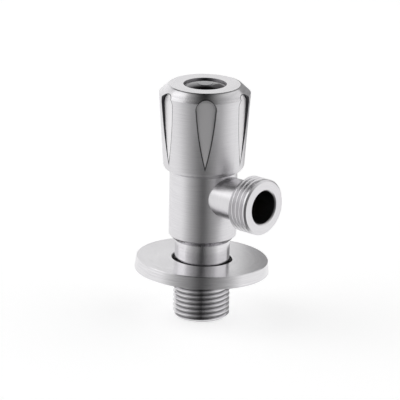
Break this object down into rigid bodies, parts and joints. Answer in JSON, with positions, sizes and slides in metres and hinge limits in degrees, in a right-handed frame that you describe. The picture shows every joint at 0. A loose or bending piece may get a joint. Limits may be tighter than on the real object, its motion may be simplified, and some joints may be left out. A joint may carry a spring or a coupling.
{
  "type": "angle stop valve",
  "caption": "Chrome angle stop valve with a G1/2 inlet and outlet thread, a fluted quarter-turn handle and a loose wall escutcheon",
  "frame": {"origin": "centre of the inlet's end face, where the valve enters the wall connection", "axes": "+Z along the inlet, barrel and spindle, towards the handle; +X along the outlet branch, outwards; +Y completes the right-handed frame"},
  "size_m": [0.0552, 0.0497, 0.0892],
  "materials": {
    "satin_chrome": "satin chrome plated brass, lightly brushed",
    "spigot_chrome": "satin chrome, lightly brushed",
    "escutcheon_chrome": "chrome plated steel with a circular brushed grain",
    "grip_rubber": "black rubber",
    "handle_chrome": "satin chrome plated zinc",
    "insert_plastic": "white acetal",
    "screw_steel": "stainless steel",
    "washer_steel": "stainless steel",
    "cap_chrome": "glossy dark chrome on plastic",
    "mark_plastic": "pale grey inlay",
    "headwork_brass": "machined brass",
    "fibre_seal": "red fibre",
    "spindle_brass": "machined brass",
    "o_ring_lower": "black nitrile",
    "o_ring_upper": "black nitrile",
    "clip_steel": "spring steel",
    "clip_washer_brass": "brass",
    "thrust_washer": "white PTFE",
    "moving_ceramic": "lapped alumina",
    "fixed_ceramic": "lapped alumina",
    "seat_rubber": "black rubber"
  },
  "bodies": {
    "valve": {"valve_body": "satin_chrome", "outlet_spigot": "spigot_chrome", "headwork_body": "headwork_brass", "headwork_flange_seal": "fibre_seal", "fixed_ceramic_disc": "fixed_ceramic", "seat_seal": "seat_rubber"},
    "handle_group": {"handle": "handle_chrome", "handle_spline_insert": "insert_plastic", "handle_screw": "screw_steel", "handle_screw_washer": "washer_steel", "index_cap": "cap_chrome", "index_mark": "mark_plastic", "spindle": "spindle_brass", "spindle_o_ring_lower": "o_ring_lower", "spindle_o_ring_upper": "o_ring_upper", "spindle_retaining_clip": "clip_steel", "spindle_clip_washer": "clip_washer_brass", "spindle_thrust_washer": "thrust_washer", "moving_ceramic_disc": "moving_ceramic"},
    "grip_ring": {"escutcheon_grip_ring": "grip_rubber"},
    "escutcheon_cover": {"escutcheon": "escutcheon_chrome"}
  },
  "joints": [
    {"name": "handle_turn", "type": "hinge", "parent": "valve", "child": "handle_group", "pos_m": [0, 0, 0.048], "axis": [0, 0, 1], "range_deg": [0, 90]},
    {"name": "escutcheon_slide", "type": "slide", "parent": "valve", "child": "grip_ring", "axis": [0, 0, 1], "range_m": [-0.016, 0.0075]},
    {"name": "escutcheon_spin", "type": "hinge", "parent": "grip_ring", "child": "escutcheon_cover", "pos_m": [0, 0, 0.01985], "axis": [0.0219, 0.02, 0.9996], "continuous": true}
  ]
}
